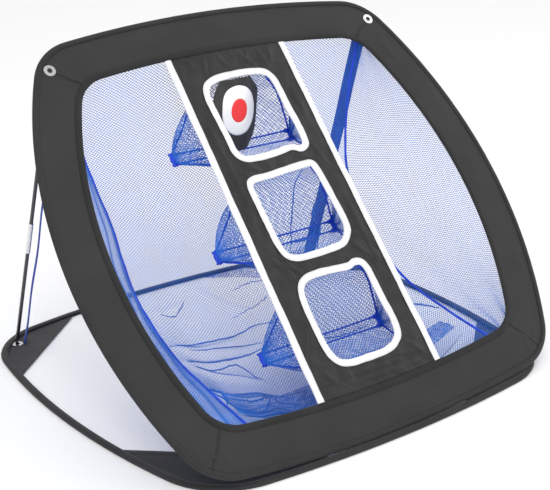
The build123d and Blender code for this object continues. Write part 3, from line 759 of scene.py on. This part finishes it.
def knit(name, grid, thread=THREAD):
    """Diamond netting over a grid of points: each thread is a small ridge from knot to knot."""
    rows, columns = grid.shape[:2]
    lean_u, lean_v = np.gradient(grid, axis=1), np.gradient(grid, axis=0)
    normal = np.cross(lean_u, lean_v)
    normal /= np.maximum(np.linalg.norm(normal, axis=2, keepdims=True), 1e-12)
    knots = (np.add.outer(np.arange(rows), np.arange(columns)) % 2) == 0
    starts, ends, ridges = [], [], []
    for step in (1, -1):
        a = knots[:-1, 1:] if step < 0 else knots[:-1, :-1]
        first = grid[:-1, 1:] if step < 0 else grid[:-1, :-1]
        second = grid[1:, :-1] if step < 0 else grid[1:, 1:]
        lift = normal[:-1, 1:] if step < 0 else normal[:-1, :-1]
        starts.append(first[a])
        ends.append(second[a])
        ridges.append(lift[a])
    start, end, ridge = np.vstack(starts), np.vstack(ends), np.vstack(ridges)
    side = np.cross(end - start, ridge)
    side *= thread / np.maximum(np.linalg.norm(side, axis=1, keepdims=True), 1e-12)
    rise = ridge * thread * 1.1
    points = np.stack((start - side, start + rise, start + side, end - side, end + rise, end + side), 1)
    base = np.arange(len(start))[:, None] * 6
    faces = np.vstack((base + (0, 1, 4, 3), base + (1, 2, 5, 4), base + (2, 0, 3, 5)))
    return finished(name, points.reshape(-1, 3), faces, NET_THREAD, smooth=False)


def sewn_cords(name, runs, finish=PIPING, sides=8):
    """Round piping along one or more runs of points; each run's radius may change along it."""
    points, faces, first = [], [], 0
    for path, radius in runs:
        count = len(path)
        radius = np.broadcast_to(radius, count)
        ahead = np.gradient(path, axis=0)
        ahead /= np.linalg.norm(ahead, axis=1, keepdims=True)
        across = np.cross(ahead[0], FORWARD)
        if np.linalg.norm(across) < 0.1:
            across = np.cross(ahead[0], ACROSS)
        turn = np.linspace(0, 2 * np.pi, sides, endpoint=False)
        for n in range(count):
            across = across - ahead[n] * (across @ ahead[n])
            across /= np.linalg.norm(across)
            up = np.cross(ahead[n], across)
            points.append(path[n] + radius[n] * (np.cos(turn)[:, None] * across + np.sin(turn)[:, None] * up))
        for n in range(count - 1):
            for k in range(sides):
                a, b = first + n * sides + k, first + n * sides + (k + 1) % sides
                faces.append((a, b, b + sides, a + sides))
        faces.append([first + k for k in range(sides)][::-1])
        faces.append([first + (count - 1) * sides + k for k in range(sides)])
        first += count * sides
    return finished(name, np.vstack(points), faces, finish)


def crumple(piece):
    """Gives the piece a mesh of its own."""
    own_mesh(piece)


BAG_MIDDLE = (
    behind(0.540, 0.002), (0.366, 0.330), (0.352, 0.220), (0.306, 0.105), (0.215, 0.024), (0.120, 0.006),
    (0.062, 0.014), behind(0.056, 0.002),
)
BAG_SEAM = (
    behind(0.528, 0.0033), (0.364, 0.310), (0.342, 0.215), (0.294, 0.132), (0.215, 0.082), (0.130, 0.062),
    behind(0.066, 0.0033),
)
SEAM_HALF = 0.190
SEAM_SPREAD = 0.030  # how much wider the seams start, under the top corners of the window

BAG_ROWS_LENGTH = 0.72  # with MESH, how many rows of knots the bag has

rows = int(BAG_ROWS_LENGTH / MESH)
columns = int(2 * SEAM_HALF / MESH)
middle, bag_length = smooth_run(BAG_MIDDLE, rows)
seam, _ = smooth_run(BAG_SEAM, rows)
seam_up = seam[:, 0] * math.cos(SLOPE) + (seam[:, 1] - HINGE[2]) * math.sin(SLOPE)
seam_half = SEAM_HALF + SEAM_SPREAD * ease((seam_up - 0.36) / 0.16)
spread = np.linspace(-1, 1, columns)
weight = (1 - np.abs(spread) ** 2.4)[None, :, None]
sheet = seam[:, None] * (1 - weight) + middle[:, None] * weight
bag = np.empty((rows, columns, 3))
bag[..., 0] = spread * seam_half[:, None]
bag[..., 1:] = sheet + (HINGE[1], 0)
# slack: the net stands off its smooth shape in soft folds, most of all along the floor
down = np.linspace(0, 1, rows)
lay = np.stack(np.broadcast_arrays(bag[..., 0], (down * bag_length)[:, None]), -1)
# spots are (across, down the net from the top hem)
TUCKS = (
    (((-0.186, 0.421), (-0.130, 0.399), (-0.077, 0.391), (-0.036, 0.382), (-0.004, 0.384)), 0.0008),
    (((-0.161, 0.422), (-0.116, 0.413), (-0.075, 0.409), (-0.040, 0.410)), 0.0006),
    (((-0.178, 0.452), (-0.147, 0.442), (-0.096, 0.431), (-0.045, 0.418)), 0.0010),
    (((-0.172, 0.462), (-0.139, 0.452), (-0.094, 0.440), (-0.079, 0.470)), 0.0008),
    (((-0.170, 0.359), (-0.145, 0.355), (-0.120, 0.330)), 0.0006),
    (((-0.043, 0.326), (-0.013, 0.322), (0.017, 0.325)), 0.0004),
    (((-0.060, 0.364), (-0.015, 0.354), (0.020, 0.340)), 0.0004),
    (((-0.187, 0.532), (-0.184, 0.524), (-0.176, 0.530), (-0.178, 0.548), (-0.186, 0.568)), 0.0014),
    (((-0.187, 0.535), (-0.180, 0.560), (-0.170, 0.579), (-0.135, 0.560), (-0.104, 0.525)), 0.0014),
    (((-0.184, 0.550), (-0.158, 0.544), (-0.120, 0.532), (-0.090, 0.515)), 0.0011),
    (((-0.175, 0.600), (-0.140, 0.575), (-0.085, 0.560), (-0.030, 0.572)), 0.0011),
    (((0.151, 0.245), (0.125, 0.249), (0.116, 0.270), (0.120, 0.285), (0.107, 0.307)), 0.0016),
    (((0.060, 0.284), (0.086, 0.289), (0.106, 0.290), (0.118, 0.276)), 0.0012),
    (((0.117, 0.192), (0.101, 0.210), (0.087, 0.243), (0.073, 0.276), (0.066, 0.300)), 0.0008),
    (((0.107, 0.307), (0.112, 0.330), (0.126, 0.338)), 0.0008),
    (((0.046, 0.433), (0.078, 0.445), (0.112, 0.452)), 0.0007),
    (((0.160, 0.470), (0.172, 0.482), (0.186, 0.520)), 0.0009),
)
TUCK_SOFT = 0.0065  # width and height of the soft fold that each tuck stands on
BAG_FOLDS = [(run[0], run[-1], TUCK_SOFT, TUCK_SOFT) for run, _ in TUCKS] + [
    ((-0.120, 0.300), (-0.020, 0.372), 0.0070, 0.0050),
    ((0.030, 0.300), (0.100, 0.420), 0.0070, 0.0060),
    ((0.110, 0.250), (0.150, 0.120), 0.0070, 0.0050),
    ((0.020, 0.560), (0.150, 0.545), 0.0060, 0.0070),
    ((0.050, 0.600), (0.170, 0.590), 0.0050, 0.0060),
]
slack = creases(lay, BAG_FOLDS)
slack += 0.0016 * np.sin(lay[..., 0] * 52 + lay[..., 1] * 31) * np.sin(lay[..., 1] * 24 - lay[..., 0] * 37)
slack *= ease(np.minimum(down, 1 - down) * 14)[:, None] * ease((1 - np.abs(spread)) * 9)[None]
outwards = np.cross(np.gradient(bag, axis=0), np.gradient(bag, axis=1))
outwards /= np.linalg.norm(outwards, axis=2, keepdims=True)
if (outwards[rows // 2, columns // 2] @ FORWARD) < 0:
    outwards = -outwards
bag += outwards * slack[..., None]
half = columns // 2
for word, part in (("left", bag[:, : half + 1]), ("right", bag[:, half:])):
    net = dress(knit(f"bag_net_{word}", part), "front_panel", "blue_net")
    if word == "left":
        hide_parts("net_back_panel")
    crumple(net)

# each gusset's thread and flat width: the left one has thicker thread, so that it looks closely gathered
GATHERS = {"left": (0.00048, 0.14), "right": (0.00028, 0.12)}
GUSSET_HEM = ((0.229, 0.526), (0.256, 0.42), (0.273, 0.2985), (0.264, 0.18), (0.236, 0.078))
GUSSET_WIDTH = 0.095
NET_BACK = 0.0022  # how far behind the panel the net is sewn on
for n, (word, side) in enumerate(SIDES.items()):
    hem, _ = smooth_run([(side * u, v) for u, v in GUSSET_HEM], rows)
    edge = on_panel(hem[:, 0], hem[:, 1], -NET_BACK)
    line = np.column_stack((side * seam_half, seam + (HINGE[1], 0)))
    wide = int(GUSSET_WIDTH / MESH)
    t = np.linspace(0, 1, wide)[None, :, None]
    gusset = edge[:, None] * (1 - t) + line[:, None] * t
    # gathered in long soft folds beside the seam
    gather = 0.0026 * np.sin(15 * t[..., 0] + 9 * down[:, None] + n)
    gather += 0.0012 * np.sin(38 * down[:, None] + 4 * t[..., 0])
    gather = (gather + 0.004) * np.sin(np.pi * t[..., 0]) * (0.4 + 0.6 * ease(down * 1.6))[:, None]
    gusset[..., 0] += side * gather
    thread, flat_width = GATHERS[word]
    net = knit(f"gusset_net_{word}", gusset, thread=thread)
    dress(net, "front_panel", "blue_net", f"net_gusset_{word}")
    crumple(net)
    wander = 0.0012 * ripple(2 * rows, (9, 17, 29), 70 + n)[:rows] * ease(np.minimum(down, 1 - down) * 12)
    path = line + np.column_stack((wander, wander * 0.5, wander * -0.7))
    path = path[::2]
    thick = 0.0017 + 0.0003 * ripple(len(path), (11, 23, 37), 80 + n)
    piping = sewn_cords(f"bag_piping_{word}", [(path, thick)])
    dress(piping, "front_panel", "net_piping", f"net_seam_{word}")
    crumple(piping)


def on_bag(spots):
    """Points on the bag's net at spots given as (across, down the net)."""
    placed = []
    for x, fallen in spots:
        row = fallen / bag_length * (len(bag) - 1)
        column = (x / seam_half[int(row)] + 1) / 2 * (columns - 1)
        i, j = int(row), int(np.clip(column, 0, columns - 2))
        a, b = row - i, column - j
        near = bag[i, j] * (1 - a) + bag[i + 1, j] * a
        far = bag[i, j + 1] * (1 - a) + bag[i + 1, j + 1] * a
        placed.append(near * (1 - b) + far * b)
    return np.array(placed)


# narrow pleats in the net, drawn as thin ridges
TUCK_STEPS = 70
pleats = []
for n, (spots, thick) in enumerate(TUCKS):
    run, _ = smooth_run(spots, TUCK_STEPS)
    wander = [ripple(2 * TUCK_STEPS, (7, 13, 21), 200 + 3 * n + k)[:TUCK_STEPS] for k in (0, 1)]
    run = run + 0.0011 * np.stack(wander, 1)
    uneven = 1 + 0.35 * ripple(2 * TUCK_STEPS, (9, 17, 33), 300 + n)[:TUCK_STEPS]
    swell = np.sin(np.pi * np.linspace(0.03, 0.97, TUCK_STEPS)) ** 0.5 * uneven
    pleats.append((on_bag(run) + FORWARD * 0.0012, thick * swell + 0.00015))
# where the spare net lies doubled: a roll along the front of the floor and a fold at the base's back edge
DOUBLED = (
    (
        "front",
        (
            (-0.181, 0.540), (-0.148, 0.529), (-0.112, 0.520), (-0.067, 0.506),
            (-0.018, 0.500), (0.030, 0.478), (0.086, 0.490), (0.172, 0.535),
        ),
        (
            (-0.184, 0.590), (-0.149, 0.579), (-0.099, 0.560), (-0.053, 0.550),
            (-0.010, 0.545), (0.040, 0.537), (0.090, 0.540), (0.176, 0.565),
        ),
        (0.10, 0.37),
    ),
    (
        "back",
        ((-0.076, 0.3000), (-0.043, 0.298), (-0.011, 0.2975), (0.020, 0.298), (0.090, 0.299)),
        ((-0.076, 0.3015), (-0.046, 0.306), (-0.017, 0.313), (0.012, 0.319), (0.090, 0.321)),
        (0.024, 0.17),
    ),
)
CLOSE_MESH = 0.0018
DOUBLED_THREAD = 0.0004
for n, (word, high, low, flat) in enumerate(DOUBLED):
    count = int(flat[1] / CLOSE_MESH)
    upper, _ = smooth_run(high, count)
    lower, _ = smooth_run(low, count)
    t = np.linspace(0, 1, max(int(flat[0] / 2 / CLOSE_MESH), 5))[:, None, None]
    spots = upper[None] * (1 - t) + lower[None] * t
    fold = on_bag(spots.reshape(-1, 2)).reshape(spots.shape[:2] + (3,))
    wave = 6 * ripple(2 * count, (2, 5, 9), 400 + n)[:count]
    raised = 0.0022 + 0.0026 * np.sin(np.pi * t[..., 0]) + 0.0012 * np.sin(14 * t[..., 0] + wave)
    fold = fold + raised[..., None] * FORWARD
    doubled = dress(knit(f"doubled_net_{word}", fold, thread=DOUBLED_THREAD), "front_panel", "blue_net")
    crumple(doubled)
tucks = dress(sewn_cords("net_tucks", pleats, NET_THREAD, 6), "front_panel", "blue_net")
crumple(tucks)

# ---------------------------------------------------------------- pockets behind the holes
TAIL_HALF = 0.094
TAIL_DEEP = 0.075
POCKET_AROUND, POCKET_LENGTH = 0.46, 0.085
POCKET_DROP = 0.007  # how much lower the tail hangs than the hole
POCKET_BELLY = 0.007
POCKET_THREAD = 0.00036
CORD_STEPS = 44
# the tail's outline, from the middle of its right end and the same way round as the hole, and how far round
# the net each of its points comes
TAIL_LINE = (
    (TAIL_HALF, 0), (TAIL_HALF, 0.006), (0.6 * TAIL_HALF, 0.0062), (0, 0.0060), (-0.6 * TAIL_HALF, 0.0062),
    (-TAIL_HALF, 0.006), (-TAIL_HALF, -0.006), (-0.6 * TAIL_HALF, -0.0062), (0, -0.0060),
    (0.6 * TAIL_HALF, -0.0062), (TAIL_HALF, -0.006), (TAIL_HALF, 0),
)
TAIL_SHARES = (0, 0.11, 0.165, 0.25, 0.335, 0.40, 0.60, 0.665, 0.75, 0.835, 0.89, 1)
TAIL_CORD = (
    (TAIL_HALF, 0.0), (TAIL_HALF, 0.0060), (TAIL_HALF - 0.004, 0.0068), (0.03, 0.0062), (-0.03, 0.0066),
    (0.004 - TAIL_HALF, 0.0068), (-TAIL_HALF, 0.0060), (-TAIL_HALF, -0.0060), (0.004 - TAIL_HALF, -0.0068),
    (-0.03, -0.0064), (0.03, -0.0062), (TAIL_HALF - 0.004, -0.0068), (TAIL_HALF, -0.0060),
)
for n, (word, up) in enumerate(HOLES.items()):
    count = int(POCKET_AROUND / MESH) // 2 * 2
    deep = int(POCKET_LENGTH / MESH)
    line, _ = smooth_run([(x * 0.985, y * 0.985) for x, y in HOLE_LINES[word]], count, closed=True)
    angle = np.linspace(0, 2 * np.pi, count, endpoint=False)
    places = np.linspace(0, 1, count, endpoint=False)
    tail = np.stack([np.interp(places, TAIL_SHARES, [spot[k] for spot in TAIL_LINE]) for k in (0, 1)], 1)
    rings = []
    for s in np.linspace(0, 1, deep):
        wider, lower = s**0.72, s**1.45
        share = np.array((wider, lower))
        flat = line * (1 - share) + tail * share
        # the net bellies out between the hole and its tail
        belly = POCKET_BELLY * np.sin(np.pi * s) * (1 + 0.5 * np.sin(3 * angle + n))
        length = np.linalg.norm(flat, axis=1, keepdims=True)
        flat = flat + flat / np.maximum(length, 0.02) * belly[:, None] * np.clip(length / 0.05, 0, 1)
        waves = 0.0012 * np.sin(11 * angle + 2.1 * n + 3 * s) * np.sin(np.pi * s)
        back = NET_BACK + (TAIL_DEEP - NET_BACK) * s
        rings.append(on_panel(flat[:, 0], up - POCKET_DROP * s + flat[:, 1] + waves, -back))
    # and is drawn shut behind the tail
    for s in (0.35, 0.7, 0.97):
        flat = tail * np.array((1.0, 1 - s))
        rings.append(on_panel(flat[:, 0], up - POCKET_DROP + flat[:, 1], -TAIL_DEEP - 0.001 * s))
    pocket = np.stack(rings)
    pocket = np.concatenate((pocket, pocket[:, :1]), 1)
    net = knit(f"pocket_net_{word}", pocket, thread=POCKET_THREAD)
    dress(net, "front_panel", "blue_net", f"pocket_{word}")
    crumple(net)
    runs = []
    for x, y in ((1, 1), (-1, 1), (-1, -1), (1, -1)):
        start = line[np.argmax(line @ (x, y))]
        spots = [
            on_panel(start[0] * 0.97, up + start[1] * 0.97, -0.0030),
            on_panel(start[0] + 0.44 * (x * TAIL_HALF - start[0]), up + 0.80 * start[1] - 0.003, -0.026),
            on_panel(start[0] + 0.76 * (x * TAIL_HALF - start[0]), up + 0.44 * start[1] - 0.006, -0.052),
            on_panel(x * TAIL_HALF, up - POCKET_DROP + y * 0.0062, -TAIL_DEEP),
        ]
        run, _ = smooth_run(spots, CORD_STEPS)
        wander = np.stack([ripple(CORD_STEPS, (3, 5, 8), 90 + 7 * n + k) for k in range(3)], 1)
        run = run + 0.0007 * wander * np.sin(np.linspace(0, np.pi, CORD_STEPS))[:, None]
        runs.append((run, 0.0013 + 0.0002 * ripple(CORD_STEPS, (5, 9), 100 + n)))
    loop, _ = smooth_run(TAIL_CORD, 150, closed=True)
    loop = np.vstack((loop, loop[:2]))
    # sewing bunches thick at the two ends of the tail
    bunch = 0.0012 + 0.0019 * ease((np.abs(loop[:, 0]) - 0.080) / 0.012)
    bunch = bunch * (1 + 0.12 * np.sin(np.arange(len(loop)) * 1.7))
    runs.append((on_panel(loop[:, 0], up - POCKET_DROP + loop[:, 1], -TAIL_DEEP - 0.001), bunch))
    piping = sewn_cords(f"pocket_piping_{word}", runs)
    dress(piping, "front_panel", "net_piping", f"pocket_end_{word}")
    crumple(piping)

# ---------------------------------------------------------------- straps beside the rods
STRAP_WIDTH, STRAP_TURN, STRAP_INSET = 0.019, math.radians(23.9), 0.010
for n, (word, side) in enumerate(SIDES.items()):
    low = np.array((side * (BASE_EYELET_SPOT[0] - STRAP_INSET), BASE_EYELET_SPOT[1], 0.0015))
    high = on_panel(side * (EYELET_SPOT[0] - STRAP_INSET), EYELET_SPOT[1], 0.0)
    across = np.array((-math.sin(STRAP_TURN * side), math.cos(STRAP_TURN * side), 0.0)) * STRAP_WIDTH / 2
    way = high - low
    face = np.cross(across, way)
    face /= np.linalg.norm(face)
    lines = []
    for share in np.linspace(-1, 1, 7):
        start = low + across * share
        # from just above the patch to just behind the panel
        first = (0.0028 - start[2]) / way[2]
        last = ((HINGE - start) @ FORWARD - 0.0016) / (way @ FORWARD)
        t = np.linspace(first, last, 90)[:, None]
        bow = 0.0022 * np.sin(np.pi * (t - first) / (last - first)) + 0.0006 * np.sin(t * 21 + n)
        lines.append(start + way * t + face * (bow + 0.0004 * share**2))
    strap = cloth(f"strap_webbing_{word}", np.stack(lines), WEBBING, 0.0012)
    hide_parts(f"strap_{word}")
    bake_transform(strap)

# ---------------------------------------------------------------- hanging target
# the target cloth's half width at each drop below its top edge
HALVES = (
    (0.0, 0.0240), (0.020, 0.0415), (0.034, 0.0415), (0.055, 0.0365), (0.075, 0.0300), (0.090, 0.0165),
    (0.094, 0.0085),
)
TARGET_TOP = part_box("target_patch")[1][2]
TARGET_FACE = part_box("target_patch")[0][1]
TARGET_X = -0.004
DISC_DROP = 0.041


def target_bend(x, drop):
    """How far the hanging cloth stands back from flat: it hangs turned, its right side folded back."""
    turned = 0.26 * (x - 0.026) * ease(drop / 0.036) + 0.24 * np.where(x > 0.012, x - 0.012, 0)
    drawn = 0.0012 * np.sin(x * 260) * np.exp(-drop / 0.010)
    curl = 0.0016 * ease((drop - 0.06) / 0.034) + 0.0012 * np.sin(drop * 50)
    return turned + drawn + curl


drops = np.concatenate((np.linspace(0, 0.090, 52), (0.0915, 0.093, 0.094)))
halves = np.interp(drops, [drop for drop, _ in HALVES], [half for _, half in HALVES])
halves = np.convolve(np.pad(halves, 2, mode="edge"), np.ones(5) / 5, mode="valid")
x = np.linspace(-1, 1, 44)[None] * halves[:, None]
drop = np.broadcast_to(drops[:, None], x.shape)
grid = on_ground(TARGET_X + x, TARGET_FACE + 0.0006 + target_bend(x, drop), TARGET_TOP - drop)
patch = dress(cloth("target_cloth", grid, TARGET_CLOTH, 0.0011), "target", "black_cloth", "target_patch")
crumple(patch)


def round_cloth(name, low, high, proud, finish, thick):
    """A round or ring of cloth sewn on the target's face."""
    spokes = 72
    turn = np.linspace(0, 2 * np.pi, spokes, endpoint=False)
    rows = []
    for radius in np.linspace(low, high, 12):
        x, drop = radius * np.sin(turn), DISC_DROP - radius * np.cos(turn)
        edge = min(abs(radius - high), abs(radius - low) if low else 1)
        lift = proud - 0.0004 * math.exp(-((edge / 0.0008) ** 2))
        rows.append(on_ground(TARGET_X + x, TARGET_FACE + target_bend(x, drop) - lift, TARGET_TOP - drop))
    points, count = np.stack(rows).reshape(-1, 3), len(rows)
    faces = [
        (inner + k, outer + k, outer + (k + 1) % spokes, inner + (k + 1) % spokes)
        for inner, outer in ((n * spokes, (n + 1) * spokes) for n in range(count - 1))
        for k in range(spokes)
    ]
    if low < 0.001:
        faces.append(list(range(spokes)))
    return add_thickness(finished(name, points, faces, finish), thick)


disc = round_cloth("target_face", 0.0150, 0.0320, 0.0006, DISC_WHITE, 0.0006)
dress(disc, "target", "target_white", "target_disc")
spot = round_cloth("bullseye_cloth", 0.0004, 0.0151, 0.0007, DISC_RED, 0.0006)
dress(spot, "target", "target_red", "target_bullseye")
crumple(disc)
crumple(spot)

# ---------------------------------------------------------------- floor, light and camera
bpy.ops.object.select_all(action="DESELECT")
bpy.ops.mesh.primitive_plane_add(size=60, location=(0, 0, 0))
floor = bpy.context.object
floor.name = "studio_floor"
material, _, _, shader, _ = new_material("studio floor")
shader.inputs["Base Color"].default_value = (0.98, 0.98, 0.98, 1)
shader.inputs["Roughness"].default_value = 0.9
floor.data.materials.append(material)

bpy.context.scene.view_settings.view_transform = "Standard"
world = bpy.data.worlds.new("studio")
bpy.context.scene.world = world
world.use_nodes = True
world.node_tree.nodes["Background"].inputs["Color"].default_value = (1, 1, 1, 1)
world.node_tree.nodes["Background"].inputs["Strength"].default_value = 0.92


def soft_light(name, spot, target, size, power):
    light = bpy.data.lights.new(name, "AREA")
    light.shape = "DISK"
    light.size = size
    light.energy = power
    lamp = bpy.data.objects.new(name, light)
    lamp.location = spot
    lamp.rotation_euler = (Vector(target) - Vector(spot)).to_track_quat("-Z", "Y").to_euler()
    bpy.context.collection.objects.link(lamp)


soft_light("key", (-1.2, -1.8, 2.2), (0, 0, 0.2), 1.6, 30)
soft_light("fill", (2.0, -1.0, 1.6), (0, 0, 0.2), 1.8, 8)

CAMERA_SPOT = (-0.8793, -1.2484, 0.7307)
azimuth, elevation, roll = math.radians(35.733), math.radians(20.663), math.radians(-1.334)
forth = Vector((math.sin(azimuth), math.cos(azimuth), 0))
look = forth * math.cos(elevation) - Vector((0, 0, math.sin(elevation)))
level = Vector((math.cos(azimuth), -math.sin(azimuth), 0))
rise = level.cross(look)
right = level * math.cos(roll) + rise * math.sin(roll)
above = rise * math.cos(roll) - level * math.sin(roll)
camera = bpy.data.objects.new("camera", bpy.data.cameras.new("camera"))
camera.data.lens = 80.78
camera.data.sensor_width = 36
turned = Matrix((right, above, -look)).transposed().to_4x4()
camera.matrix_world = Matrix.Translation(CAMERA_SPOT) @ turned
bpy.context.collection.objects.link(camera)
bpy.context.scene.camera = camera
